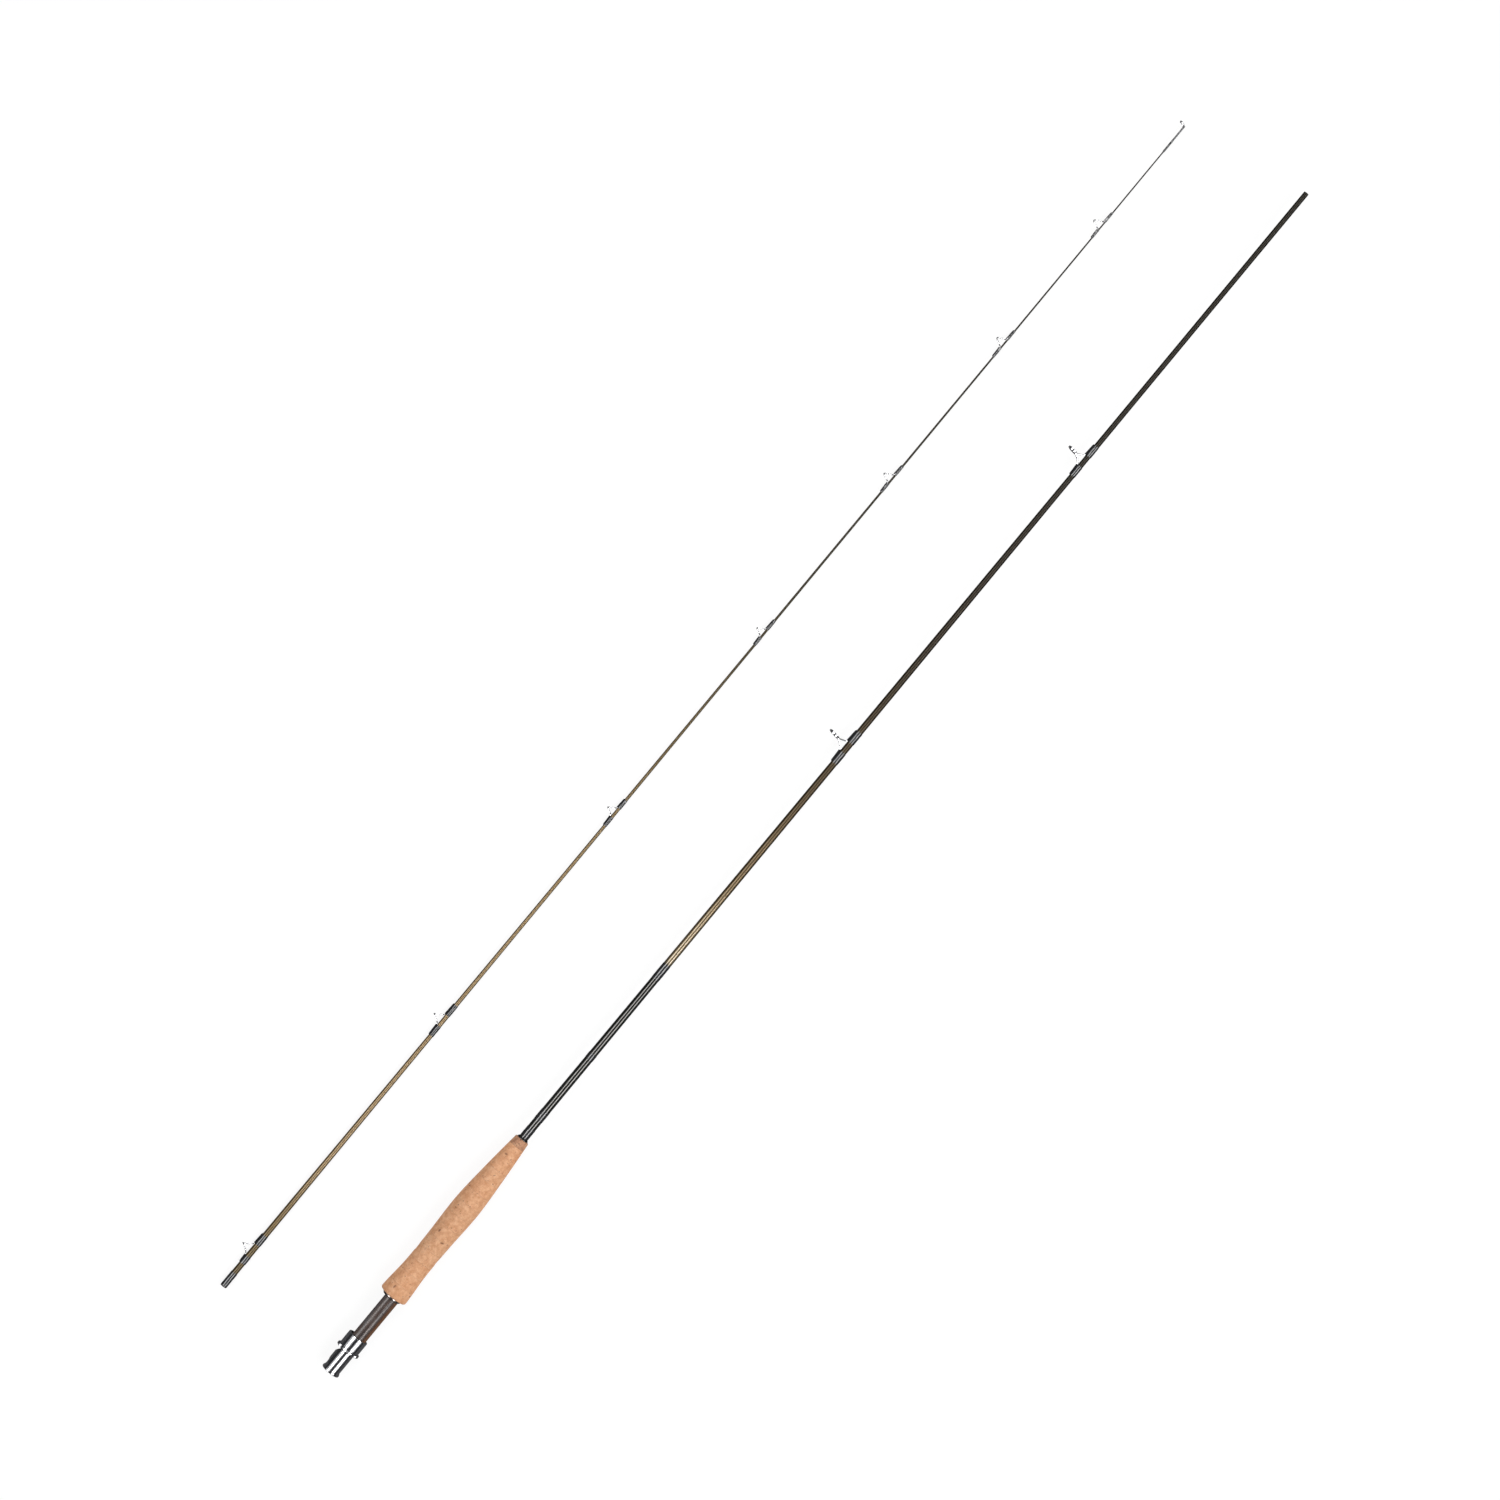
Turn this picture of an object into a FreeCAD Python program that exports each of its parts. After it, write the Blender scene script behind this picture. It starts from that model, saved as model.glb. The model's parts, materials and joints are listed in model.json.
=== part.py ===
import FreeCAD, Part
import math
import os

from FreeCAD import Vector

# Two-piece fly rod, taken apart.  The butt section lies along +X from its butt cap, with its
# guides towards +Y.  The tip section lies beside it.  Millimetres, origin at the centre of the
# butt cap's end face.

# butt section: reel seat
CAP_LENGTH = 22.5
CAP_RADIUS = 7.65
CAP_RIM_RADIUS = 8.6
CAP_RIM_LENGTH = 2.6
CAP_END_WALL = 2.2
FOOT_FLAT = 5.75            # height of the reel-foot flat above the rod's axis
HOOD_TOP = 8.3
HOOD_SIDE_RADIUS = 6.4
HOOD_WALL = 0.75
INSERT_RADIUS = 7.75
TENON_RADIUS = 6.7
ARBOR_RADIUS = 4.7
RING_START = 23.3
RING_LENGTH = 15.7
RING_RADIUS = 9.75
RING_RIM_RADIUS = 11.25
RING_RIM_LENGTH = 2.9
RING_BORE_RADIUS = INSERT_RADIUS + 0.05
SEAT_END = 83.0
TRIM_END = 85.2
TRIM_RADIUS = 9.2

# butt section: cork grip, as (distance from the butt, radius)
GRIP_END = 261.5
GRIP_RINGS = 14
NOSE_START = 253.7          # the foremost ring is shorter than the others
GRIP_OUTLINE = [
    (TRIM_END, 13.2), (97.0, 12.6), (112.0, 11.5), (131.0, 11.2), (153.0, 11.6), (187.0, 12.55),
    (208.0, 11.4), (236.0, 9.15), (GRIP_END, 6.7),
]
GRIP_REAR_ROUND = 2.0
GRIP_FRONT_ROUND = 1.2
CHECK_END = 263.2
CHECK_RADIUS = 5.3

# butt section: blank, as (distance from the butt, outer radius)
BLANK_START = 3.0
BLANK_BUTT_RADIUS = 4.1
BUTT_LENGTH = 1326.8
FERRULE_LENGTH = 60.0
FERRULE_RADIUS = 2.35
FERRULE_CLEARANCE = 0.05
BUTT_BLANK = [
    (BLANK_START, BLANK_BUTT_RADIUS), (265.0, BLANK_BUTT_RADIUS), (600.0, 3.3), (825.0, 2.88),
    (1085.0, 2.45), (BUTT_LENGTH - FERRULE_LENGTH - 5.0, FERRULE_RADIUS), (BUTT_LENGTH, FERRULE_RADIUS),
]
BUTT_WALL = 0.8
THREAD = 0.3                # thickness of thread and finish together
FOOT_GAP = 0.05             # between a guide's foot and the blank
FOOT_SPREAD = 0.06          # a foot is this much wider than its wire
FOOT_SHORT = 1.0            # a foot ends this far inside its wrap
FOOT_TIP_SHARE = 0.3        # radius of a foot's tip, as a share of its wire's
LABEL_WRAPS = [(CHECK_END, 274.3), (282.3, 293.9), (351.0, 358.0), (441.0, 458.0)]

# stripping guides: rear wrap, front wrap, ring centre, ring height, ring radius
STRIPPING_GUIDES = [
    ((685.0, 697.0), (707.4, 719.4), 704.6, 15.6, 5.8),
    ((1008.3, 1019.0), (1030.0, 1041.3), 1026.0, 13.8, 4.9),
]
RING_LEAN = 8.0             # degrees forward
STRUT_RADIUS = 0.55
INSERT_WALL = 0.75
FRAME_BAND = 0.85

# tip section, measured from its ferrule end
TIP_OFFSET = Vector(-4.0, 118.6, -9.3)
TIP_LENGTH = 1308.5
FERRULE_DEPTH = 62.0
TIP_BLANK = [
    (0.0, 2.9), (95.0, 2.7), (200.0, 2.35), (303.0, 2.1), (407.0, 1.77), (511.0, 1.6), (650.0, 1.25),
    (789.0, 1.08), (928.0, 0.97), (1032.0, 0.85), (1136.0, 0.72), (1240.0, 0.62), (TIP_LENGTH, 0.55),
]
TIP_WALL = 0.5
TIP_HOLLOW_END = 640.0
FERRULE_WRAP_LENGTH = 15.6

# snake guides: rear wrap, front wrap, apex, height of the apex above the rod's axis
SNAKE_GUIDES = [
    ((26.0, 33.8), (46.5, 57.2), 40.1, 11.4),
    ((283.0, 293.9), (305.5, 317.3), 299.6, 10.6),
    ((519.9, 529.7), (539.3, 548.8), 534.1, 8.8),
    ((723.9, 732.6), (741.3, 751.7), 736.8, 8.3),
    ((896.8, 906.5), (915.6, 926.0), 910.7, 8.9),
    ((1049.4, 1059.5), (1068.7, 1078.5), 1064.3, 8.5),
    ((1183.5, 1192.6), (1201.7, 1211.7), 1196.6, 8.8),
]
SNAKE_WIRE_RADIUS = 0.42
SNAKE_HALF_WIDTH = 3.4      # of the wire's centre line

# tip-top
TIP_TUBE_START = 1288.5
TIP_TUBE_RADIUS = 0.8
TIP_TUBE_NOSE = 1.5
TIP_LOOP_RADIUS = 2.75
TIP_LOOP_WIRE = 0.45
TIP_LOOP_LEAN = 24.0
TIP_LOOP_TWIST = 28.0       # the loop sits turned a little on the tip
TIP_WRAP = (1280.5, 1295.0)

AXIS = Vector(1, 0, 0)


def revolved(outline):
    """A solid turned about the rod's axis from an outline of (x, radius) points."""
    points = [Vector(x, r, 0) for x, r in outline]
    face = Part.Face(Part.makePolygon(points + points[:1]))
    return face.revolve(Vector(0, 0, 0), AXIS, 360)


def cylinder(start, end, radius, height=0.0):
    return Part.makeCylinder(radius, end - start, Vector(start, height, 0), AXIS)


def tube(start, end, outer, inner):
    return cylinder(start, end, outer).cut(cylinder(start - 1, end + 1, inner))


def radius_at(profile, x):
    """The radius of a taper at x, straight between its stations."""
    for (x0, r0), (x1, r1) in zip(profile, profile[1:]):
        if x <= x1:
            return r0 + (r1 - r0) * (x - x0) / (x1 - x0)
    return profile[-1][1]


def above(height):
    """Everything near the seat that is higher than the given distance from the axis."""
    return Part.makeBox(200, 40, 40, Vector(-20, height, -20))


def wire(points, radius):
    """A round wire through 3-D points, with each corner replaced by the largest neat arc."""
    edges = []
    start = points[0]
    for before, corner, after in zip(points, points[1:], points[2:]):
        into = (corner - before).normalize()
        out = (after - corner).normalize()
        half_turn = into.getAngle(out) / 2
        reach = 0.45 * min((corner - before).Length, (after - corner).Length)
        bend = reach / math.tan(half_turn)
        towards_centre = (out - into).normalize()
        centre = corner + towards_centre * math.hypot(reach, bend)
        first = corner - into * reach
        last = corner + out * reach
        edges.append(Part.LineSegment(start, first).toShape())
        edges.append(Part.Arc(first, centre - towards_centre * bend, last).toShape())
        start = last
    edges.append(Part.LineSegment(start, points[-1]).toShape())
    path = Part.Wire(edges)
    direction = points[1] - points[0]
    section = Part.Wire([Part.Circle(points[0], direction, radius).toShape()])
    return path.makePipeShell([section], True, False)


def foot_height(blank_radius, wire_radius):
    """Height of a foot's centre line above the rod's axis."""
    return blank_radius + FOOT_GAP + wire_radius + FOOT_SPREAD


def foot(inner_end, outer_end, blank_radius, wire_radius):
    """A guide's foot: a little wider than its wire, ground down to a thin tip."""
    length = abs(outer_end - inner_end)
    start = Vector(inner_end, foot_height(blank_radius, wire_radius), 0)
    direction = Vector(outer_end - inner_end, 0, 0)
    return Part.makeCone(wire_radius + FOOT_SPREAD, FOOT_TIP_SHARE * wire_radius, length, start, direction)


def wrap_section(x, blank_radius, spacing, foot_radius):
    """Thread pulled round the blank and over a foot: two arcs and the lines that touch both."""
    around = blank_radius + THREAD
    over = foot_radius + THREAD
    cos_b = (around - over) / spacing
    sin_b = math.sqrt(1 - cos_b * cos_b)
    low = [Vector(x, around * cos_b, s * around * sin_b) for s in (1, -1)]
    high = [Vector(x, spacing + over * cos_b, s * over * sin_b) for s in (1, -1)]
    return Part.Wire([
        Part.Arc(low[0], Vector(x, -around, 0), low[1]).toShape(),
        Part.LineSegment(low[1], high[1]).toShape(),
        Part.Arc(high[1], Vector(x, spacing + over, 0), high[0]).toShape(),
        Part.LineSegment(high[0], low[0]).toShape(),
    ])


def foot_wrap(inner_end, outer_end, profile, blank_radius, wire_radius):
    """The thread over a guide's foot.  It thins towards the foot's tip."""
    spacing = foot_height(blank_radius, wire_radius)
    body = Part.makeLoft([
        wrap_section(inner_end, blank_radius, spacing, wire_radius + FOOT_SPREAD),
        wrap_section(outer_end, blank_radius, spacing, FOOT_TIP_SHARE * wire_radius),
    ], True, True)
    foot_end = outer_end + math.copysign(FOOT_SHORT, inner_end - outer_end)
    hole = foot(inner_end, foot_end, blank_radius, wire_radius)
    return body.cut(blank_core(profile)).cut(hole)


def hollow_blank():
    outer = [(BLANK_START, 0)] + BUTT_BLANK + [(BUTT_LENGTH, 0)]
    inner = [(x, r - BUTT_WALL) for x, r in BUTT_BLANK]
    inner = [(BLANK_START - 1, 0), (BLANK_START - 1, inner[0][1])] + inner[1:-1] \
        + [(BUTT_LENGTH + 1, inner[-1][1]), (BUTT_LENGTH + 1, 0)]
    return revolved(outer).cut(revolved(inner))


def tip_blank():
    outer = [(0, 0)] + TIP_BLANK + [(TIP_LENGTH, 0)]
    bore = FERRULE_RADIUS + FERRULE_CLEARANCE
    hollow = [(-1, 0), (-1, bore), (FERRULE_DEPTH, bore)]
    hollow += [(x, r - TIP_WALL) for x, r in TIP_BLANK if FERRULE_DEPTH < x < TIP_HOLLOW_END]
    hollow += [(TIP_HOLLOW_END, 0.6), (TIP_HOLLOW_END, 0)]
    return revolved(outer).cut(revolved(hollow))


def insert_tenon(start, end, radius):
    return cylinder(start, end, radius).cut(above(FOOT_FLAT))


def reel_seat_insert():
    tenon = insert_tenon(CAP_END_WALL, CAP_LENGTH, TENON_RADIUS)
    body = insert_tenon(CAP_LENGTH, SEAT_END, INSERT_RADIUS)
    return tenon.fuse(body).removeSplitter().cut(cylinder(0, 100, ARBOR_RADIUS))


def hood(top, side_radius):
    """The raised pocket for the reel's rear foot: a side view cut from a cylinder."""
    lift = HOOD_TOP - top
    mouth = 17.6
    points = [Vector(6.0 + lift, 5.0, 0), Vector(6.0 + lift, 6.6, 0)]
    top_start = Vector(11.5 + lift, top, 0)
    rise = Part.Arc(points[1], Vector(8.2 + lift, top - 0.55, 0), top_start)
    edges = [
        Part.LineSegment(points[0], points[1]).toShape(),
        rise.toShape(),
        Part.LineSegment(top_start, Vector(mouth, top, 0)).toShape(),
        Part.LineSegment(Vector(mouth, top, 0), Vector(mouth + 3.4, 5.0, 0)).toShape(),
        Part.LineSegment(Vector(mouth + 3.4, 5.0, 0), points[0]).toShape(),
    ]
    side = Part.Face(Part.Wire(edges)).extrude(Vector(0, 0, 30))
    side.translate(Vector(0, 0, -15))
    return side.common(cylinder(0, CAP_LENGTH, side_radius, top - side_radius))


def butt_cap():
    """A cup over the insert's end, with a rolled rim and a hooded pocket."""
    round_over = 0.5
    body = revolved([
        (0, 0), (0, CAP_RIM_RADIUS - round_over), (round_over, CAP_RIM_RADIUS),
        (CAP_RIM_LENGTH - 0.9, CAP_RIM_RADIUS), (CAP_RIM_LENGTH + 1.2, CAP_RADIUS),
        (CAP_LENGTH, CAP_RADIUS), (CAP_LENGTH, 0),
    ])
    body = body.cut(insert_tenon(CAP_END_WALL, CAP_LENGTH + 1, TENON_RADIUS))
    mouth = Part.makeBox(20, 20, 40, Vector(17.6, FOOT_FLAT, -20))
    body = body.cut(mouth).fuse(hood(HOOD_TOP, HOOD_SIDE_RADIUS).common(above(FOOT_FLAT)))
    pocket = cylinder(9.0, CAP_LENGTH + 1, HOOD_SIDE_RADIUS - HOOD_WALL, HOOD_TOP - HOOD_SIDE_RADIUS)
    return body.cut(pocket.common(above(FOOT_FLAT))).removeSplitter()


def slide_ring():
    end = RING_START + RING_LENGTH
    rim = RING_START + RING_RIM_LENGTH
    lead_in = 0.7
    return revolved([
        (RING_START, RING_BORE_RADIUS + lead_in), (RING_START, RING_RIM_RADIUS - 0.5),
        (RING_START + 0.5, RING_RIM_RADIUS), (rim - 0.5, RING_RIM_RADIUS), (rim, RING_RIM_RADIUS - 0.5),
        (rim, RING_RADIUS), (end - 0.4, RING_RADIUS), (end, RING_RADIUS - 0.4), (end, RING_BORE_RADIUS),
        (RING_START + lead_in, RING_BORE_RADIUS),
    ])


def trim_ring():
    return revolved([
        (SEAT_END, BLANK_BUTT_RADIUS), (SEAT_END, TRIM_RADIUS - 0.9), (SEAT_END + 0.9, TRIM_RADIUS),
        (TRIM_END, TRIM_RADIUS), (TRIM_END, BLANK_BUTT_RADIUS),
    ])


def grip():
    """The whole cork grip, shaped as one: the rings are cut from it."""
    curve = Part.BSplineCurve()
    curve.interpolate([Vector(x, r, 0) for x, r in GRIP_OUTLINE])
    rear = Vector(TRIM_END, GRIP_OUTLINE[0][1], 0)
    front = Vector(GRIP_END, GRIP_OUTLINE[-1][1], 0)
    bore = BLANK_BUTT_RADIUS
    face = Part.Face(Part.Wire([
        curve.toShape(),
        Part.LineSegment(front, Vector(GRIP_END, bore, 0)).toShape(),
        Part.LineSegment(Vector(GRIP_END, bore, 0), Vector(TRIM_END, bore, 0)).toShape(),
        Part.LineSegment(Vector(TRIM_END, bore, 0), rear).toShape(),
    ]))
    solid = face.revolve(Vector(0, 0, 0), AXIS, 360)
    for x, size in ((TRIM_END, GRIP_REAR_ROUND), (GRIP_END, GRIP_FRONT_ROUND)):
        rims = [e for e in solid.Edges if abs(e.BoundBox.XMax - x) < 0.01 and e.BoundBox.XLength < 0.01]
        outer = max(rims, key=lambda e: e.BoundBox.YLength)
        solid = solid.makeFillet(size, [outer])
    return solid


def cork_ring(whole, index):
    """One of the equal rings, or the short ring of dense cork at the front."""
    pitch = (NOSE_START - TRIM_END) / (GRIP_RINGS - 1)
    start = TRIM_END + index * pitch
    end = GRIP_END if index == GRIP_RINGS - 1 else start + pitch
    return whole.common(Part.makeBox(end - start, 60, 60, Vector(start, -30, -30)))


def winding_check():
    return revolved([
        (GRIP_END, BLANK_BUTT_RADIUS), (GRIP_END, CHECK_RADIUS), (GRIP_END + 0.7, CHECK_RADIUS),
        (CHECK_END, BLANK_BUTT_RADIUS + THREAD + 0.1), (CHECK_END, BLANK_BUTT_RADIUS),
    ])


def leaning_bar(x, height, radius, width):
    """A round bar across a guide's eye: its axis leans forward, and its middle is at (x, height)."""
    lean = math.radians(RING_LEAN)
    axis = Vector(math.cos(lean), -math.sin(lean), 0)
    return Part.makeCylinder(radius, width, Vector(x, height, 0) - axis * (width / 2), axis)


def stripping_frame(rear, front, x, height, ring_radius, profile):
    """Band, two rear struts from one foot, and one front strut."""
    buried = 0.6
    low = height - ring_radius
    rear_blank = radius_at(profile, rear[0])
    front_blank = radius_at(profile, front[0])
    rear_y = foot_height(rear_blank, STRUT_RADIUS)
    front_y = foot_height(front_blank, STRUT_RADIUS)
    struts = [wire([
        Vector(front[0] + buried, front_y, 0), Vector(front[0] - 1.0, front_y, 0),
        Vector(x - 0.4, low + 0.4, 0),
    ], STRUT_RADIUS)]
    for sign in (1, -1):
        struts.append(wire([
            Vector(rear[1] - buried, rear_y, 0), Vector(rear[1] + 1.0, rear_y, 0),
            Vector(rear[1] + 0.62 * (x - rear[1]), rear_y + 0.62 * (low - rear_y), sign * 0.4 * ring_radius),
            Vector(x - 0.8, height - 0.78 * ring_radius, sign * 0.66 * ring_radius),
            Vector(x - 0.2, height - 0.3 * ring_radius, sign * (ring_radius - 0.25)),
        ], STRUT_RADIUS))
    eye = leaning_bar(x, height, ring_radius - FRAME_BAND, 14)
    shape = leaning_bar(x, height, ring_radius, 1.5).cut(eye)
    for strut in struts:
        shape = shape.fuse(strut.cut(eye))
    shape = shape.fuse(foot(rear[1], rear[0] + FOOT_SHORT, rear_blank, STRUT_RADIUS))
    return shape.fuse(foot(front[0], front[1] - FOOT_SHORT, front_blank, STRUT_RADIUS))


def stripping_insert(x, height, ring_radius):
    """The hard ring that the line runs on: wider than its band, with rounded lips."""
    outer = ring_radius - FRAME_BAND
    ring = leaning_bar(x, height, outer, 2.4).cut(leaning_bar(x, height, outer - INSERT_WALL, 4))
    return ring.makeFillet(0.3, [e for e in ring.Edges if isinstance(e.Curve, Part.Circle)])


def snake_guide(rear, front, apex, top, profile):
    """One wire: foot, up one side, across the top, down the other side, foot."""
    buried = 0.6
    lead = 1.0
    rear_blank = radius_at(profile, rear[0])
    front_blank = radius_at(profile, front[0])
    rear_y = foot_height(rear_blank, SNAKE_WIRE_RADIUS)
    front_y = foot_height(front_blank, SNAKE_WIRE_RADIUS)
    crest = top - SNAKE_WIRE_RADIUS

    def leg(base_x, base_y, sign):
        """The corners of one leg, as (share of the height, share of the half width)."""
        along = apex - sign * 0.2 - base_x
        return [
            Vector(base_x + f * along, base_y + f * (crest - base_y), -sign * w * SNAKE_HALF_WIDTH)
            for f, w in ((0.16, 0.95), (0.8, 1.0), (1.0, 0.6))
        ]

    points = [Vector(rear[1] - buried, rear_y, 0), Vector(rear[1] + lead, rear_y, 0)]
    points += leg(rear[1] + lead, rear_y, 1)
    points += leg(front[0] - lead, front_y, -1)[::-1]
    points += [Vector(front[0] - lead, front_y, 0), Vector(front[0] + buried, front_y, 0)]
    shape = wire(points, SNAKE_WIRE_RADIUS)
    shape = shape.fuse(foot(rear[1], rear[0] + FOOT_SHORT, rear_blank, SNAKE_WIRE_RADIUS))
    return shape.fuse(foot(front[0], front[1] - FOOT_SHORT, front_blank, SNAKE_WIRE_RADIUS))


def tip_top_tube():
    return cylinder(TIP_TUBE_START, TIP_LENGTH + TIP_TUBE_NOSE, TIP_TUBE_RADIUS)


def loop_frame():
    """Centre and axis of the tip-top's loop: its lowest point sits on the tube's nose."""
    lean = math.radians(TIP_LOOP_LEAN)
    twist = math.radians(TIP_LOOP_TWIST)
    axis = Vector(math.cos(lean), -math.sin(lean), 0) * math.cos(twist) + Vector(0, 0, 1) * math.sin(twist)
    across = Vector(math.sin(lean), math.cos(lean), 0)
    base = Vector(TIP_LENGTH + 0.6, 0.3, 0)
    return base + across * TIP_LOOP_RADIUS, axis


def tip_top_loop():
    centre, axis = loop_frame()
    return Part.makeTorus(TIP_LOOP_RADIUS, TIP_LOOP_WIRE, centre, axis)


def butt_section(parts):
    blank = hollow_blank()
    parts["butt_blank"] = blank
    parts["reel_seat_insert"] = reel_seat_insert()
    parts["reel_seat_arbor"] = tube(BLANK_START + 1, SEAT_END, ARBOR_RADIUS, BLANK_BUTT_RADIUS)
    parts["butt_cap"] = butt_cap()
    parts["slide_ring"] = slide_ring()
    parts["seat_trim_ring"] = trim_ring()
    whole = grip()
    for index in range(GRIP_RINGS):
        parts["cork_ring_%02d" % (index + 1)] = cork_ring(whole, index)
    parts["winding_check"] = winding_check()
    for number, (start, end) in enumerate(LABEL_WRAPS, 1):
        outer = radius_at(BUTT_BLANK, start) + THREAD
        parts["label_wrap_%d" % number] = cylinder(start, end, outer).cut(blank_core(BUTT_BLANK))
    for number, (rear, front, x, height, radius) in enumerate(STRIPPING_GUIDES, 1):
        name = "stripping_guide_%d" % number
        parts[name + "_frame"] = stripping_frame(rear, front, x, height, radius, BUTT_BLANK)
        parts[name + "_ring"] = stripping_insert(x, height, radius)
        add_wraps(parts, name, rear, front, BUTT_BLANK, STRUT_RADIUS)


def blank_core(profile):
    """The blank as a solid bar, for cutting what is wound on it."""
    return revolved([(profile[0][0], 0)] + profile + [(profile[-1][0], 0)])


def add_wraps(parts, name, rear, front, profile, wire_radius):
    for side, inner, outer in (("rear", rear[1], rear[0]), ("front", front[0], front[1])):
        blank = radius_at(profile, min(inner, outer))
        parts["%s_%s_wrap" % (name, side)] = foot_wrap(inner, outer, profile, blank, wire_radius)


def tip_section(parts):
    blank = tip_blank()
    pieces = {"tip_blank": blank}
    wrap_radius = TIP_BLANK[0][1] + THREAD + 0.1
    pieces["ferrule_wrap"] = cylinder(0, FERRULE_WRAP_LENGTH, wrap_radius).cut(blank_core(TIP_BLANK))
    for number, (rear, front, apex, top) in enumerate(SNAKE_GUIDES, 1):
        name = "snake_guide_%d" % number
        pieces[name] = snake_guide(rear, front, apex, top, TIP_BLANK)
        add_wraps(pieces, name, rear, front, TIP_BLANK, SNAKE_WIRE_RADIUS)
    core = blank_core(TIP_BLANK)
    loop = tip_top_loop()
    tube_piece = tip_top_tube().cut(core).cut(loop)
    pieces["tip_top_tube"] = tube_piece
    pieces["tip_top_loop"] = loop.cut(core)
    wrap = cylinder(*TIP_WRAP, TIP_TUBE_RADIUS + THREAD)
    pieces["tip_top_wrap"] = wrap.cut(core).cut(cylinder(TIP_TUBE_START, TIP_LENGTH, TIP_TUBE_RADIUS))
    for name, shape in pieces.items():
        shape.translate(TIP_OFFSET)
        parts[name] = shape


def main():
    os.makedirs("parts", exist_ok=True)
    parts = {}
    butt_section(parts)
    tip_section(parts)
    for name, shape in parts.items():
        print("%-32s solids %d volume %9.2f valid %s" % (
            name, len(shape.Solids), shape.Volume, shape.isValid()))
        shape.exportStep("parts/%s.step" % name)
    print(len(parts), "sub-parts")


main()
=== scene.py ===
import json
import math
import random

import bmesh
import bpy
import numpy as np
from mathutils import Matrix, Vector
from mathutils.bvhtree import BVHTree

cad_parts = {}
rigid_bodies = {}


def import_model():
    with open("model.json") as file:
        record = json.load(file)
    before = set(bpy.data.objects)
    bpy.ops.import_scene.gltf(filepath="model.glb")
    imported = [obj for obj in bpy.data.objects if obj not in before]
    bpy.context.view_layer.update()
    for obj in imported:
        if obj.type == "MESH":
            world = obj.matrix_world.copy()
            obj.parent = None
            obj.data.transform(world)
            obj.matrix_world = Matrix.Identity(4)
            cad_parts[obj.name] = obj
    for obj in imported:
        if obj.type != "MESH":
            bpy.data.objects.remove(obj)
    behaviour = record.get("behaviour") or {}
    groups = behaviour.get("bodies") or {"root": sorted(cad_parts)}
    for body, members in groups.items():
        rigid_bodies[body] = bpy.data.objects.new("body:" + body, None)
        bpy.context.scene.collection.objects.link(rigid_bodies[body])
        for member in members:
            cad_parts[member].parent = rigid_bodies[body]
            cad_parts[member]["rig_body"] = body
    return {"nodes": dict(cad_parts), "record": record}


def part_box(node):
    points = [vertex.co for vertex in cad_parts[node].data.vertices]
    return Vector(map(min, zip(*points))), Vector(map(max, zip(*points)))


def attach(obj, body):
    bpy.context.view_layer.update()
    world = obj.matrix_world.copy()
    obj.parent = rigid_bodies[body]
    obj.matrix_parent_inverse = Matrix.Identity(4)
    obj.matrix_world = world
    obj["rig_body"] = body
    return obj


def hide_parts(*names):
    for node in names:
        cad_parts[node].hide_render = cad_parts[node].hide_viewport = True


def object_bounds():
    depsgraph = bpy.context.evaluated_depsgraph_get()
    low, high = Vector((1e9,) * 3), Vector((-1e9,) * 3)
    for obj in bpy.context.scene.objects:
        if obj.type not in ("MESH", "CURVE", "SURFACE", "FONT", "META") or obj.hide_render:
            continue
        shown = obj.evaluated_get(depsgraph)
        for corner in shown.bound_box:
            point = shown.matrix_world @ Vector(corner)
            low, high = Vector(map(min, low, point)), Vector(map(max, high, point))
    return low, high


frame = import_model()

bl_info = {
    "name": "Two-piece fly rod",
    "version": (1, 0, 0),
    "blender": (4, 5, 0),
    "location": "View3D > Sidebar > Fly Rod",
    "description": "Finishes a two-piece fly rod: cork grip, reel seat, blanks, thread wraps and line guides",
    "category": "Object",
}

MM = 0.001
WHITE = (1.0, 1.0, 1.0, 1.0)
SENSOR_WIDTH = 36.0
CAD_BOX = [list(corner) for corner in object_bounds()]
MOUNTS = {mount["name"]: mount for mount in frame["record"]["mounts"]}
TIP_AXIS = Vector(MOUNTS["female_ferrule"]["pos_m"])
TIP_AXIS.x = 0.0
BUTT_AXIS = Vector((0.0, 0.0, 0.0))
FLOOR_Z = CAD_BOX[0][2]
CORK_RINGS = sorted(name for name in frame["nodes"] if name.startswith("cork_ring_"))
WRAPS = sorted(name for name in frame["nodes"] if "wrap" in name)

# cork: gap between neighbouring rings, depth of sanding, sizes of the pits, and the glue lines
RING_GAP = 0.02 * MM
SANDED_OFF = 0.005 * MM
SMALL_PIT = (0.35 * MM, 0.8 * MM)
LARGE_PIT = (0.9 * MM, 2.1 * MM)
SEAM_WIDTH = 0.22 * MM
SEAM_FREE = 1 * MM          # the grip's two ends have no glue line


# ---------------------------------------------------------------- reading the frame

def body_of(node):
    return frame["nodes"][node]["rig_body"]


def axis_of(node):
    """A point on the axis of the rod section that a node belongs to."""
    return TIP_AXIS if body_of(node) == "tip_section" else BUTT_AXIS


def surface_of(*nodes):
    """A search tree over the meshes of some CAD nodes."""
    corners = []
    faces = []
    for name in nodes:
        mesh = frame["nodes"][name].data
        first = len(corners)
        corners += [vertex.co.copy() for vertex in mesh.vertices]
        faces += [[first + i for i in polygon.vertices] for polygon in mesh.polygons]
    return BVHTree.FromPolygons(corners, faces)


def radius_of(tree, x, axis):
    """Distance from an axis to the surface at x, measured on the side away from the guides."""
    reach = 40 * MM
    hit = tree.ray_cast(Vector((x, axis.y - reach, axis.z)), Vector((0, 1, 0)), reach)
    if hit[0] is None:
        raise RuntimeError("no surface at x = %.4f" % x)
    return axis.y - hit[0].y


# ---------------------------------------------------------------- meshes

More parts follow.
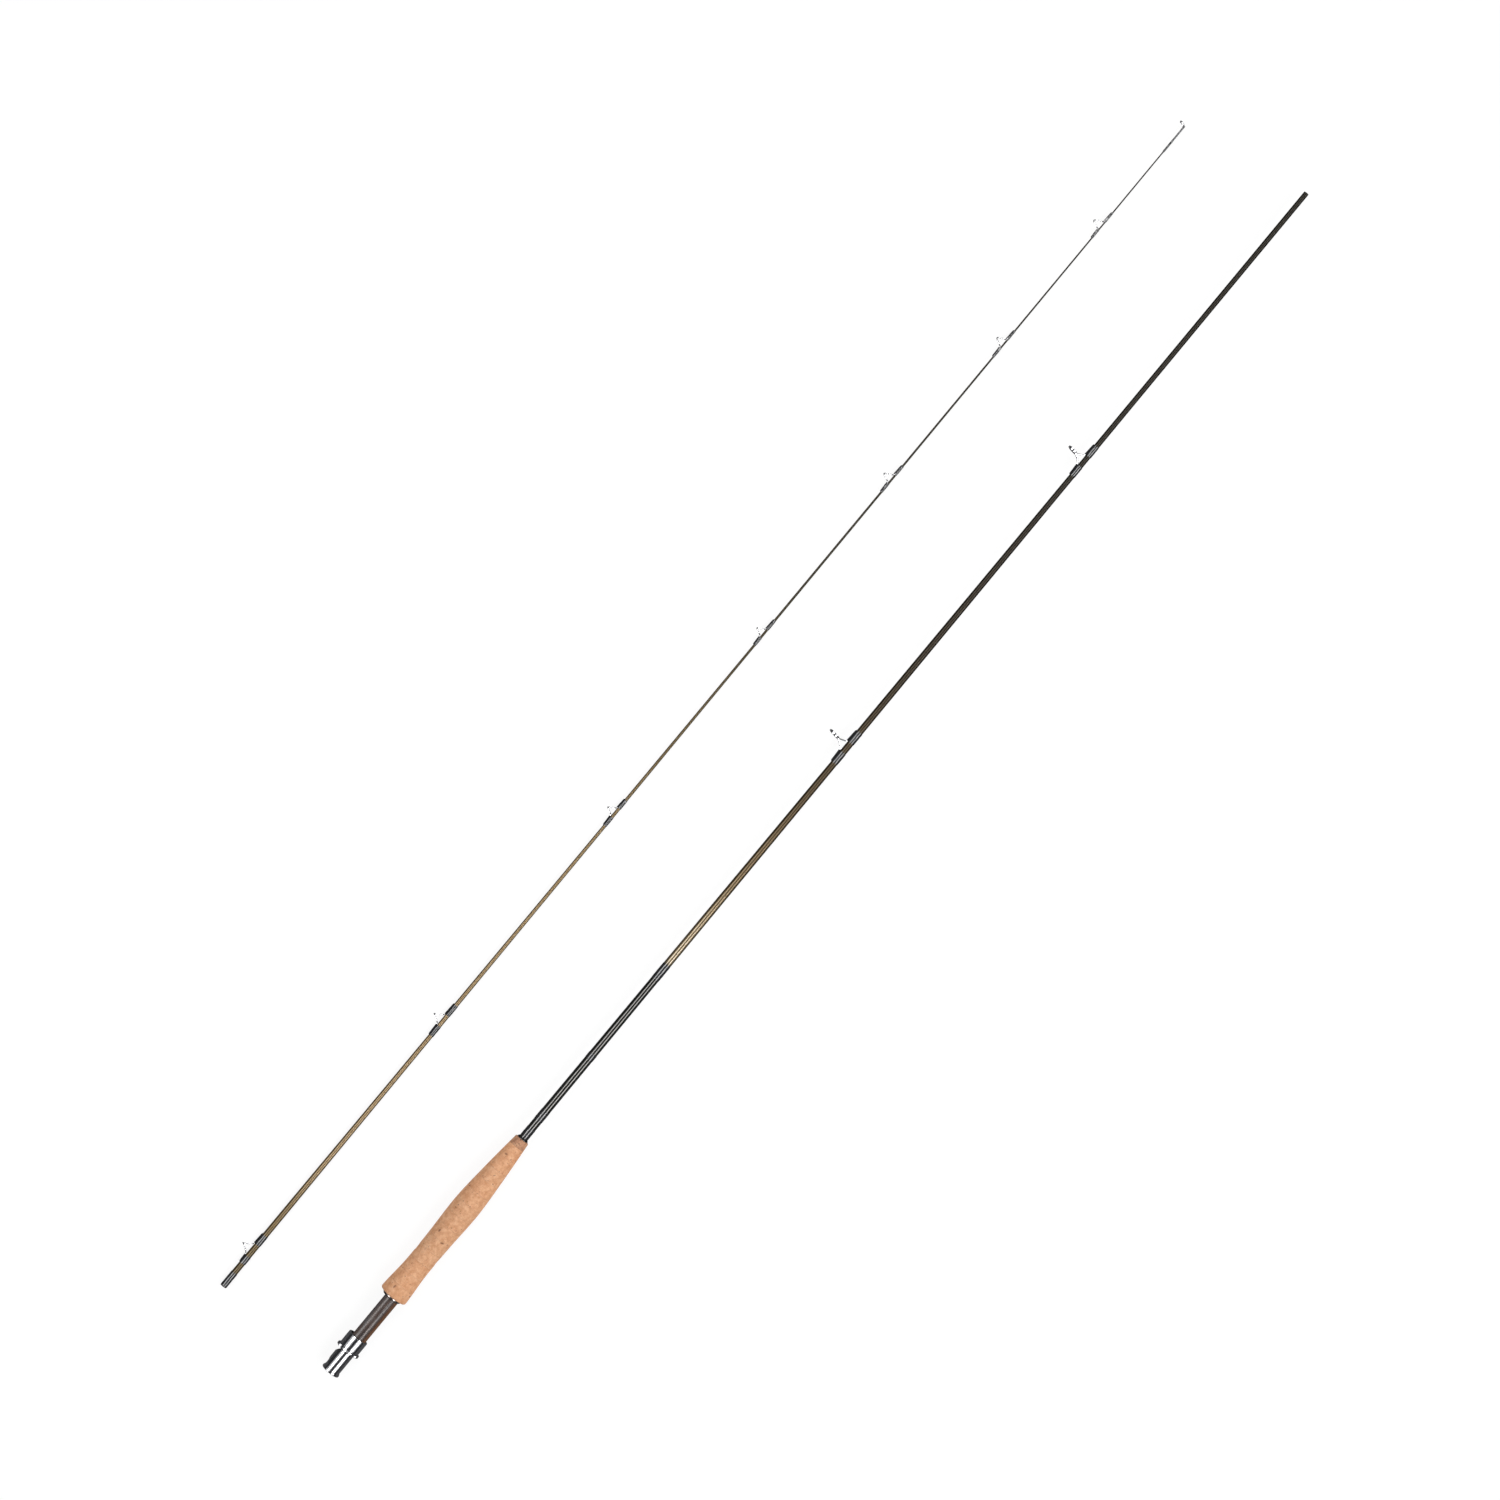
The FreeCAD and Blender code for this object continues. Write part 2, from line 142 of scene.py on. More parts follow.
def new_piece(name, mesh, body, material, nodes=()):
    """A finished mesh as a piece that rides on a body and stands for its CAD nodes."""
    piece = bpy.data.objects.new(name, mesh)
    bpy.context.scene.collection.objects.link(piece)
    mesh.materials.clear()
    mesh.materials.append(material)
    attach(piece, body)
    if nodes:
        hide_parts(*nodes)
    return piece


def smooth(mesh, angle=35.0):
    """Smooth shading, apart from edges sharper than the angle."""
    mesh.shade_smooth()
    mesh.set_sharp_from_angle(angle=math.radians(angle))


def lathe(name, profile, axis, segments, closed):
    """A mesh turned about the X direction from (x, radius) points, in order from first to last.

    A closed profile makes a ring. An open one starts and ends on the axis.
    """
    mesh = bmesh.new()
    rows = []
    for x, radius in profile:
        if radius == 0.0:
            rows.append([mesh.verts.new((x, axis.y, axis.z))])
            continue
        row = []
        for i in range(segments):
            turn = 2 * math.pi * i / segments
            row.append(mesh.verts.new((x, axis.y + radius * math.cos(turn), axis.z + radius * math.sin(turn))))
        rows.append(row)
    pairs = list(zip(rows, rows[1:]))
    if closed:
        pairs.append((rows[-1], rows[0]))
    for near, far in pairs:
        for i in range(segments):
            j = (i + 1) % segments
            corners = [near[i % len(near)], near[j % len(near)], far[j % len(far)], far[i % len(far)]]
            mesh.faces.new(list(dict.fromkeys(corners)))
    bmesh.ops.recalc_face_normals(mesh, faces=mesh.faces)
    data = bpy.data.meshes.new(name)
    mesh.to_mesh(data)
    mesh.free()
    return data


def rounded(points, size, steps=4):
    """The same outline with each corner of a closed profile cut to a short curve."""
    result = []
    count = len(points)
    for i, point in enumerate(points):
        corner = Vector(point)
        before = Vector(points[i - 1])
        after = Vector(points[(i + 1) % count])
        cut = min(size, 0.4 * (before - corner).length, 0.4 * (after - corner).length)
        first = corner + (before - corner).normalized() * cut
        last = corner + (after - corner).normalized() * cut
        for step in range(steps + 1):
            t = step / steps
            at = first * (1 - t) ** 2 + corner * 2 * t * (1 - t) + last * t ** 2
            result.append((at.x, at.y))
    return result


def merged_copy(node):
    """A copy of a CAD node's mesh with its loose triangles joined."""
    data = frame["nodes"][node].data.copy()
    mesh = bmesh.new()
    mesh.from_mesh(data)
    bmesh.ops.remove_doubles(mesh, verts=mesh.verts, dist=0.002 * MM)
    mesh.to_mesh(data)
    mesh.free()
    if data.attributes.get("custom_normal"):
        data.attributes.remove(data.attributes["custom_normal"])
    smooth(data)
    return data


def dress(node, material):
    """A CAD node in its own shape, with its finish."""
    new_piece(node + "_finished", merged_copy(node), body_of(node), material, [node])


# ---------------------------------------------------------------- node trees

def add(tree, kind, settings=None, **inputs):
    """A node with its settings and inputs. An input that is a socket is linked, any other is a value."""
    node = tree.nodes.new(kind)
    for name, value in (settings or {}).items():
        setattr(node, name, value)
    for name, value in inputs.items():
        key = int(name[1:]) if name[0] == "_" else name.replace("_", " ")
        socket = node.inputs[key]
        if isinstance(value, bpy.types.NodeSocket):
            tree.links.new(value, socket)
        else:
            socket.default_value = value
    return node


def calc(tree, operation, first, second=0.0, third=0.0):
    return add(tree, "ShaderNodeMath", {"operation": operation}, _0=first, _1=second, _2=third).outputs[0]


def mix_values(tree, share, low, high):
    """low where share is 0, high where share is 1."""
    span = calc(tree, "SUBTRACT", high, low)
    return calc(tree, "MULTIPLY_ADD", share, span, low)


class Finish:
    """A material being made: its tree, its surface shader and the place on the object."""

    def __init__(self, name, axis=BUTT_AXIS):
        self.material = bpy.data.materials.new(name)
        self.material.use_nodes = True
        self.tree = self.material.node_tree
        self.shader = self.tree.nodes["Principled BSDF"]
        place = add(self.tree, "ShaderNodeTexCoord").outputs["Object"]
        mapping = add(self.tree, "ShaderNodeMapping", Vector=place, Location=(-axis.x, -axis.y, -axis.z))
        self.place = mapping.outputs[0]
        split = add(self.tree, "ShaderNodeSeparateXYZ", Vector=self.place)
        self.x, self.y, self.z = split.outputs

    def set(self, **inputs):
        for name, value in inputs.items():
            socket = self.shader.inputs[name.replace("_", " ")]
            if isinstance(value, bpy.types.NodeSocket):
                self.tree.links.new(value, socket)
            else:
                socket.default_value = value

    def stretched(self, along, across):
        """The place on the object, scaled along the rod and across it."""
        return add(self.tree, "ShaderNodeVectorMath", {"operation": "MULTIPLY"},
                   _0=self.place, _1=(along, across, across)).outputs[0]

    def noise(self, scale, detail=3.0, vector=None, roughness=0.55):
        return add(self.tree, "ShaderNodeTexNoise", Vector=vector or self.place, Scale=scale,
                   Detail=detail, Roughness=roughness).outputs["Fac"]

    def ramp(self, value, stops):
        """Colours or greys along a value: each stop is (position, colour)."""
        node = add(self.tree, "ShaderNodeValToRGB", Fac=value)
        elements = node.color_ramp.elements
        while len(elements) < len(stops):
            elements.new(0.5)
        for element, (position, colour) in zip(elements, stops):
            element.position = position
            element.color = colour if len(colour) == 4 else (*colour, 1.0)
        return node.outputs[0]

    def level(self, value, low, high):
        """0 below low, 1 above high, and a straight line between."""
        return add(self.tree, "ShaderNodeMapRange", Value=value, _1=low, _2=high).outputs[0]

    def blend(self, share, low, high, kind="MIX"):
        node = self.tree.nodes.new("ShaderNodeMix")
        node.data_type = "RGBA"
        node.blend_type = kind
        for socket, value in ((node.inputs[0], share), (node.inputs[6], low), (node.inputs[7], high)):
            if isinstance(value, bpy.types.NodeSocket):
                self.tree.links.new(value, socket)
            else:
                socket.default_value = value if isinstance(value, float) or len(value) == 4 else (*value, 1.0)
        return node.outputs[2]

    def bump(self, height, distance, strength=1.0):
        return add(self.tree, "ShaderNodeBump", Height=height, Distance=distance, Strength=strength).outputs[0]

    def attribute(self, name):
        return add(self.tree, "ShaderNodeAttribute", {"attribute_name": name}).outputs["Fac"]

    def turn(self):
        """Share of a full turn about the rod's axis."""
        return calc(self.tree, "DIVIDE", calc(self.tree, "ARCTAN2", self.z, self.y), 2 * math.pi)


# ---------------------------------------------------------------- materials

def grey(*stops):
    """Stops of a ramp given as (position, value)."""
    return [(position, (value,) * 3) for position, value in stops]


def cork_finish(name, base, light, dark, speck):
    """Sanded cork: soft mottling, short dark pores and the pits cut into the mesh."""
    finish = Finish(name)
    tone = finish.attribute("tone")
    tree = finish.tree
    shift = add(tree, "ShaderNodeCombineXYZ", X=calc(tree, "MULTIPLY", tone, 3.7),
                Y=calc(tree, "MULTIPLY", tone, 1.3))
    place = add(tree, "ShaderNodeVectorMath", {"operation": "ADD"}, _0=finish.place, _1=shift.outputs[0])
    place = place.outputs[0]
    mottle = finish.noise(260.0, 5.0, place, 0.65)
    colour = finish.ramp(mottle, [(0.34, dark), (0.5, base), (0.66, light)])
    cells = add(tree, "ShaderNodeTexVoronoi", {"feature": "DISTANCE_TO_EDGE"}, Vector=place, Scale=900.0)
    grain = finish.level(cells.outputs["Distance"], 0.0, 0.12)
    colour = finish.blend(calc(tree, "MULTIPLY", calc(tree, "SUBTRACT", 1.0, grain), 0.16), colour, speck)
    squeezed = add(tree, "ShaderNodeVectorMath", {"operation": "MULTIPLY"}, _0=place, _1=(900.0, 260.0, 260.0))
    streak = finish.noise(1.0, 4.0, squeezed.outputs[0], 0.7)
    colour = finish.blend(calc(tree, "MULTIPLY", finish.level(streak, 0.62, 0.72), 0.55), colour, speck)
    warm = finish.blend(finish.level(tone, 0.0, 1.0), (0.98, 1.0, 1.02), (1.03, 0.98, 0.94))
    colour = finish.blend(1.0, colour, warm, "MULTIPLY")
    pit = finish.attribute("pit")
    colour = finish.blend(calc(tree, "MULTIPLY", finish.level(pit, 0.05, 0.7), 0.9), colour, speck)
    seam = finish.attribute("seam")
    colour = finish.blend(calc(tree, "MULTIPLY", seam, 0.16), colour, speck)
    fine = finish.noise(2600.0, 3.0, place)
    height = calc(tree, "ADD", calc(tree, "MULTIPLY", fine, 0.5), calc(tree, "MULTIPLY", grain, 0.4))
    finish.set(Base_Color=colour, Roughness=finish.ramp(mottle, grey((0.3, 0.82), (0.7, 0.68))),
               Specular_IOR_Level=0.3, Sheen_Weight=0.12, Sheen_Roughness=0.5,
               Normal=finish.bump(height, 0.06 * MM, 0.6))
    return finish.material


def wood_finish(settings):
    """Dark figured hardwood under gloss varnish, its grain running along the seat."""
    finish = Finish("varnished_dark_wood")
    tree = finish.tree
    warp = finish.noise(1.0, 3.0, finish.stretched(60.0, 160.0))
    bands = finish.noise(1.0, 6.0, finish.stretched(22.0, 520.0), 0.62)
    figure = calc(tree, "ADD", bands, calc(tree, "MULTIPLY", warp, 0.35))
    colour = finish.ramp(figure, [
        (0.5, (0.012, 0.008, 0.008)), (0.6, tuple(settings.wood)), (0.7, (0.075, 0.045, 0.034)),
        (0.8, (0.075, 0.07, 0.072)),
    ])
    # Orange-brown along the −Y side of the insert.
    orange_side = finish.level(calc(tree, "MULTIPLY_ADD", figure, 2 * MM, finish.y), -2.8 * MM, -5.5 * MM)
    colour = finish.blend(orange_side, colour, finish.blend(0.75, colour, (0.17, 0.07, 0.024)))
    pores = finish.noise(1.0, 2.0, finish.stretched(180.0, 2600.0))
    dark = finish.level(pores, 0.66, 0.74)
    colour = finish.blend(calc(tree, "MULTIPLY", dark, 0.6), colour, (0.008, 0.004, 0.003))
    finish.set(Base_Color=colour, Roughness=finish.ramp(bands, grey((0.3, 0.42), (0.7, 0.3))),
               Coat_Weight=0.2, Coat_Roughness=0.3, Coat_IOR=1.45, Specular_IOR_Level=0.15,
               Normal=finish.bump(figure, 0.03 * MM, 0.35))
    return finish.material


def metal_finish(name, colour, roughness, turned=0.2, axis=BUTT_AXIS):
    """Polished metal with fine turning marks and faint smears."""
    finish = Finish(name, axis)
    marks = finish.noise(1.0, 3.0, finish.stretched(9000.0, 220.0))
    smear = finish.noise(240.0, 3.0)
    low = finish.ramp(smear, grey((0.3, roughness * 0.75), (0.7, roughness * 1.35)))
    tint = finish.blend(finish.level(smear, 0.35, 0.75), colour, [c * 0.82 for c in colour])
    finish.set(Base_Color=tint, Metallic=1.0, Roughness=low,
               Normal=finish.bump(marks, 0.004 * MM, turned))
    return finish.material


def foam_finish():
    """Stiff open-celled foam."""
    finish = Finish("arbor_foam")
    cells = add(finish.tree, "ShaderNodeTexVoronoi", {"feature": "DISTANCE_TO_EDGE"}, Vector=finish.place,
                Scale=2200.0)
    wall = finish.level(cells.outputs["Distance"], 0.0, 0.2)
    finish.set(Base_Color=finish.blend(wall, (0.62, 0.56, 0.4), (0.4, 0.34, 0.22)), Roughness=0.85,
               Normal=finish.bump(wall, 0.05 * MM, 0.5))
    return finish.material


def ceramic_finish():
    """Dark polished ceramic, faintly clouded."""
    finish = Finish("dark_ceramic")
    cloud = finish.noise(900.0, 3.0)
    finish.set(Base_Color=finish.ramp(cloud, [(0.3, (0.05, 0.05, 0.055)), (0.7, (0.11, 0.11, 0.12))]),
               Roughness=finish.ramp(cloud, grey((0.3, 0.1), (0.7, 0.2))),
               Coat_Weight=0.8, Coat_Roughness=0.05)
    return finish.material


def blank_finish(name, axis, stops, gloss, metal, length, bare_from, bare_to):
    """A painted or clear-coated graphite blank: colour along its length, with painted reflection in it, and
    fine spiral tape marks.
    """
    finish = Finish(name, axis)
    tree = finish.tree
    along = finish.level(finish.x, 0.0, length)
    # Colour along the blank from its stops; the stops carry painted reflection that brightens and fades along
    # it.
    colour = finish.ramp(along, stops)
    tape = calc(tree, "ADD", calc(tree, "DIVIDE", finish.x, 1.9 * MM), finish.turn())
    ridge = calc(tree, "PINGPONG", tape, 0.5)
    ridge = calc(tree, "SMOOTH_MIN", calc(tree, "MULTIPLY", ridge, 2.0), 0.8, 0.3)
    fibre = finish.noise(1.0, 3.0, finish.stretched(90.0, 3000.0))
    shade = calc(tree, "ADD", calc(tree, "MULTIPLY", fibre, 0.5), calc(tree, "MULTIPLY", ridge, 0.28))
    bare = finish.ramp(along, grey((bare_from, 0.0), (bare_to, 1.0)))
    streaks = finish.blend(finish.level(shade, 0.2, 0.75), (0.72, 0.7, 0.66), (1.22, 1.16, 1.05))
    colour = finish.blend(bare, colour, finish.blend(1.0, colour, streaks, "MULTIPLY"))
    painted = calc(tree, "SUBTRACT", 1.0, bare)
    lumps = calc(tree, "MULTIPLY", finish.noise(1.0, 1.0, finish.stretched(260.0, 160.0)), painted)
    height = calc(tree, "MULTIPLY", calc(tree, "ADD", ridge, calc(tree, "MULTIPLY", fibre, 0.3)), bare)
    height = calc(tree, "MULTIPLY_ADD", lumps, 15.0, height)
    rough = calc(tree, "MULTIPLY_ADD", fibre, 0.12, calc(tree, "MULTIPLY_ADD", bare, 0.1, 0.2))
    finish.set(Base_Color=colour, Metallic=calc(tree, "MULTIPLY", bare, finish.ramp(along, grey(*metal))),
               Specular_IOR_Level=0.1, Specular_Tint=(1.0, 0.88, 0.7, 1.0), Roughness=rough,
               Coat_Weight=finish.ramp(along, grey(*gloss)), Coat_Roughness=0.05, Coat_IOR=1.5,
               Normal=finish.bump(height, 0.05 * MM, 0.35))
    return finish.material


def thread_finish(name, axis, settings):
    """Black thread seen through a clear, glassy finish."""
    finish = Finish(name, axis)
    tree = finish.tree
    turns = calc(tree, "DIVIDE", finish.x, settings.thread_pitch)
    rib = calc(tree, "PINGPONG", calc(tree, "ADD", turns, finish.turn()), 0.5)
    shade = finish.level(rib, 0.0, 0.5)
    colour = finish.blend(shade, (0.004, 0.004, 0.005), tuple(settings.thread))
    cloud = finish.noise(700.0, 2.0)
    finish.set(Base_Color=colour, Roughness=0.5, Specular_IOR_Level=0.1, Coat_Weight=0.75, Coat_Roughness=0.03,
               Coat_IOR=1.5,
               Normal=finish.bump(calc(tree, "ADD", shade, calc(tree, "MULTIPLY", cloud, 0.4)), 0.03 * MM, 0.5))
    return finish.material


# ---------------------------------------------------------------- geometry node trees

def new_tree(name, inputs):
    """A geometry tree with named inputs. Returns it, its input node, its output node and the identifiers."""
    tree = bpy.data.node_groups.new(name, "GeometryNodeTree")
    tree.interface.new_socket("Geometry", in_out="INPUT", socket_type="NodeSocketGeometry")
    tree.interface.new_socket("Geometry", in_out="OUTPUT", socket_type="NodeSocketGeometry")
    keys = {}
    for label, kind in inputs.items():
        keys[label] = tree.interface.new_socket(label, in_out="INPUT", socket_type=kind).identifier
    return tree, tree.nodes.new("NodeGroupInput"), tree.nodes.new("NodeGroupOutput"), keys


def finish_tree(tree, geometry, given, output):
    """Ends a tree: instances made real, then the material."""
    real = add(tree, "GeometryNodeRealizeInstances", Geometry=geometry)
    coloured = add(tree, "GeometryNodeSetMaterial", Geometry=real.outputs[0],
                   Material=given.outputs["Material"])
    tree.links.new(coloured.outputs[0], output.inputs[0])


def run_tree(name, tree, keys, values):
    """Runs a tree on an empty mesh and returns the result as a plain mesh."""
    holder = bpy.data.objects.new(name, bpy.data.meshes.new(name + "_holder"))
    bpy.context.scene.collection.objects.link(holder)
    modifier = holder.modifiers.new(name, "NODES")
    modifier.node_group = tree
    for label, value in values.items():
        modifier[keys[label]] = value
    bpy.context.view_layer.update()
    evaluated = holder.evaluated_get(bpy.context.evaluated_depsgraph_get())
    mesh = bpy.data.meshes.new_from_object(evaluated)
    mesh.name = name
    holder.modifiers.remove(modifier)
    bpy.data.objects.remove(holder)
    return mesh


def wound_thread_tree():
    """Thread wound over a blank and a guide's foot, under a clear finish that draws in at the ends.

    Rays find the form underneath, which gives the radius at each place on the wrap.
    """
    numbers = ("Cover", "Start", "Length", "Axis Y", "Axis Z", "Blank Radius", "Thickness", "Turns", "Relief",
               "Waviness", "Seed")
    tree, given, output, keys = new_tree("Wound thread", {
        "Form": "NodeSocketObject", "Foot": "NodeSocketObject",
        **{label: "NodeSocketFloat" for label in numbers},
        "Rows": "NodeSocketInt", "Columns": "NodeSocketInt", "Material": "NodeSocketMaterial",
    })
    value = given.outputs
    grid = add(tree, "GeometryNodeMeshGrid", Size_X=1.0, Size_Y=1.0,
               Vertices_X=value["Rows"], Vertices_Y=value["Columns"])
    place = add(tree, "ShaderNodeSeparateXYZ", Vector=add(tree, "GeometryNodeInputPosition").outputs[0])
    u = calc(tree, "ADD", place.outputs[0], 0.5)
    turn = calc(tree, "MULTIPLY", place.outputs[1], 2 * math.pi)

    # The grid closes on itself: inner edge at the start, outer rows, inner edge at the end, first edge again.
    step = calc(tree, "DIVIDE", 1.0, calc(tree, "SUBTRACT", value["Rows"], 1.0))
    end_row = calc(tree, "MULTIPLY_ADD", step, -2.0, 1.0)
    along = add(tree, "ShaderNodeMapRange", Value=u, _1=step, _2=end_row).outputs[0]
    not_last = calc(tree, "LESS_THAN", u, calc(tree, "MULTIPLY_ADD", step, -0.5, 1.0))
    along = calc(tree, "MULTIPLY", along, not_last)
    up = calc(tree, "COSINE", turn)
    side = calc(tree, "SINE", turn)

    reach = 14 * MM
    inset = 0.03 * MM
    inside = calc(tree, "MINIMUM", calc(tree, "MAXIMUM", calc(tree, "MULTIPLY", along, value["Length"]), inset),
                  calc(tree, "SUBTRACT", value["Length"], inset))
    source = add(tree, "ShaderNodeCombineXYZ", X=calc(tree, "ADD", value["Start"], inside),
                 Y=calc(tree, "MULTIPLY_ADD", up, reach, value["Axis Y"]),
                 Z=calc(tree, "MULTIPLY_ADD", side, reach, value["Axis Z"]))
    inward = add(tree, "ShaderNodeCombineXYZ", Y=calc(tree, "MULTIPLY", up, -1.0),
                 Z=calc(tree, "MULTIPLY", side, -1.0))
    found = []
    for label in ("Form", "Foot"):
        target = add(tree, "GeometryNodeObjectInfo", Object=value[label]).outputs["Geometry"]
        ray = add(tree, "GeometryNodeRaycast", Target_Geometry=target,
                  Source_Position=source.outputs[0], Ray_Direction=inward.outputs[0], Ray_Length=reach)
        radius = calc(tree, "SUBTRACT", reach, ray.outputs["Hit Distance"])
        found.append(mix_values(tree, ray.outputs["Is Hit"], value["Blank Radius"], radius))
    form_radius, foot_radius = found
    covered = calc(tree, "ADD", foot_radius, value["Cover"])
    even = add(tree, "GeometryNodeBlurAttribute", {"data_type": "FLOAT"},
               _0=calc(tree, "MAXIMUM", form_radius, covered), Iterations=4, Weight=0.8)

    from_end = calc(tree, "MINIMUM", along, calc(tree, "SUBTRACT", 1.0, along))
    from_end = calc(tree, "MULTIPLY", from_end, value["Length"])
    draw_in = calc(tree, "EXPONENT", calc(tree, "DIVIDE", from_end, -0.4 * MM))
    outer = calc(tree, "SUBTRACT", even.outputs[0],
                 calc(tree, "MULTIPLY", calc(tree, "MULTIPLY_ADD", draw_in, 0.5, 0.3), value["Thickness"]))
    winding = calc(tree, "MULTIPLY_ADD", along, calc(tree, "MULTIPLY", value["Turns"], 2 * math.pi), turn)
    outer = calc(tree, "MULTIPLY_ADD", calc(tree, "SINE", winding), value["Relief"], outer)
    spread = add(tree, "ShaderNodeCombineXYZ", X=calc(tree, "DIVIDE", inside, 2.6 * MM), Y=up,
                 Z=calc(tree, "ADD", side, value["Seed"]))
    wave = add(tree, "ShaderNodeTexNoise", Vector=spread.outputs[0], Scale=1.0, Detail=1.0).outputs["Fac"]
    outer = calc(tree, "MULTIPLY_ADD", calc(tree, "SUBTRACT", wave, 0.5), value["Waviness"], outer)
    outer = calc(tree, "SMOOTH_MAX", outer, covered, 0.08 * MM)

    after_first = calc(tree, "GREATER_THAN", u, calc(tree, "MULTIPLY", step, 0.5))
    before_inner = calc(tree, "LESS_THAN", u, calc(tree, "MULTIPLY_ADD", step, -1.5, 1.0))
    is_outer = calc(tree, "MULTIPLY", after_first, before_inner)
    inner = calc(tree, "MULTIPLY", value["Blank Radius"], 0.94)
    radius = mix_values(tree, is_outer, inner, outer)
    position = add(tree, "ShaderNodeCombineXYZ",
                   X=calc(tree, "MULTIPLY_ADD", along, value["Length"], value["Start"]),
                   Y=calc(tree, "MULTIPLY_ADD", radius, up, value["Axis Y"]),
                   Z=calc(tree, "MULTIPLY_ADD", radius, side, value["Axis Z"]))
    moved = add(tree, "GeometryNodeSetPosition", Geometry=grid.outputs["Mesh"], Position=position.outputs[0])
    joined = add(tree, "GeometryNodeMergeByDistance", Geometry=moved.outputs[0], Distance=0.002 * MM)
    shaded = add(tree, "GeometryNodeSetShadeSmooth", Geometry=joined.outputs[0])
    finish_tree(tree, shaded.outputs[0], given, output)
    return tree, keys


def knurl_tree():
    """Fine ridges set round a rim, each lying along the rod."""
    tree, given, output, keys = new_tree("Knurled rim", {
        "Radius": "NodeSocketFloat", "Width": "NodeSocketFloat", "Ridge": "NodeSocketFloat",
        "Count": "NodeSocketInt", "Material": "NodeSocketMaterial",
    })
    value = given.outputs
    ring = add(tree, "GeometryNodeMeshCircle", Vertices=value["Count"], Radius=value["Radius"])
    ridge = add(tree, "GeometryNodeMeshCylinder", {"fill_type": "TRIANGLE_FAN"}, Vertices=6,
                Radius=value["Ridge"], Depth=value["Width"])
    share = calc(tree, "DIVIDE", add(tree, "GeometryNodeInputIndex").outputs[0], value["Count"])
    spin = add(tree, "ShaderNodeCombineXYZ", Z=calc(tree, "MULTIPLY", share, 2 * math.pi))
    rotation = add(tree, "FunctionNodeEulerToRotation", Euler=spin.outputs[0])
    ridges = add(tree, "GeometryNodeInstanceOnPoints", Points=ring.outputs[0], Instance=ridge.outputs["Mesh"],
                 Rotation=rotation.outputs[0])
    laid = add(tree, "GeometryNodeTransform", Geometry=ridges.outputs[0], Rotation=(0.0, math.pi / 2, 0.0))
    finish_tree(tree, laid.outputs[0], given, output)
    return tree, keys


# ---------------------------------------------------------------- pieces

def make_stage(settings):
    """Pale floor, two long soft boxes over the rod, a dim sky and the camera."""
    bpy.context.scene.view_settings.view_transform = "Standard"
    middle = Vector((0.65, 0.06, 0.0))
    make_floor(settings, middle)
    make_lights(settings, middle)
    make_sky(settings)
    make_camera(settings)


def make_floor(settings, middle):
    """A floor that shows white, without dark shadows, and that polished pieces reflect as dim."""
    height = FLOOR_Z - 0.02 * MM
    bpy.ops.mesh.primitive_plane_add(size=settings.floor_size, location=(middle.x, middle.y, height))
    floor = bpy.context.object
    floor.name = "studio_floor"
    pale = bpy.data.materials.new("studio_floor")
    pale.use_nodes = True
    tree = pale.node_tree
    shader = tree.nodes["Principled BSDF"]
    shader.inputs["Base Color"].default_value = (*settings.floor_colour, 1.0)
    shader.inputs["Roughness"].default_value = 0.9
    shader.inputs["Specular IOR Level"].default_value = 0.1
    dim = add(tree, "ShaderNodeBsdfDiffuse", Color=(0.16, 0.16, 0.165, 1.0))
    even = add(tree, "ShaderNodeEmission", Color=WHITE, Strength=1.06)
    path = add(tree, "ShaderNodeLightPath").outputs
    glow = calc(tree, "MULTIPLY", path["Is Camera Ray"], settings.floor_glow)
    seen = add(tree, "ShaderNodeMixShader", _0=glow, _1=shader.outputs[0], _2=even.outputs[0])
    both = add(tree, "ShaderNodeMixShader", _0=calc(tree, "MULTIPLY", path["Is Glossy Ray"], 0.96),
               _1=seen.outputs[0], _2=dim.outputs[0])
    tree.links.new(both.outputs[0], tree.nodes["Material Output"].inputs["Surface"])
    floor.data.materials.append(pale)


def make_lights(settings, middle):
    """Two wide strips that light the rod, and two narrow ones that only show in reflections."""
    for name, tilt, width, distance, power in (
        ("key_strip", -43.0, settings.key_width, 1.25, settings.key_power),
        ("fill_strip", 31.5, settings.fill_width, 1.25, settings.fill_power),
        ("key_glint", -43.0, settings.glint_width, 1.24, settings.glint_power),
        ("fill_glint", 27.0, settings.glint_width, 1.24, settings.glint_power),
    ):
        light = bpy.data.lights.new(name, "AREA")
        light.shape = "RECTANGLE"
        light.size = settings.light_length
        light.size_y = width
        light.energy = power
        strip = bpy.data.objects.new(name, light)
        bpy.context.scene.collection.objects.link(strip)
        turn = math.radians(tilt)
        strip.location = middle + Vector((0.0, distance * math.sin(turn), distance * math.cos(turn)))
        strip.rotation_euler = (-turn, 0.0, 0.0)
        strip.visible_camera = False
        strip.visible_diffuse = "glint" not in name


def make_sky(settings):
    """Even light from all round, darker in reflections."""
    world = bpy.data.worlds.new("studio_world")
    world.use_nodes = True
    bpy.context.scene.world = world
    tree = world.node_tree
    sky = tree.nodes["Background"]
    sky.inputs["Color"].default_value = WHITE
    sky.inputs["Strength"].default_value = settings.sky
    path = add(tree, "ShaderNodeLightPath")
    dark = add(tree, "ShaderNodeBackground", Color=(0.9, 0.93, 1.0, 1.0), Strength=settings.reflected_sky)
    both = add(tree, "ShaderNodeMixShader", _0=path.outputs["Is Glossy Ray"], _1=sky.outputs[0],
               _2=dark.outputs[0])
    tree.links.new(both.outputs[0], tree.nodes["World Output"].inputs["Surface"])


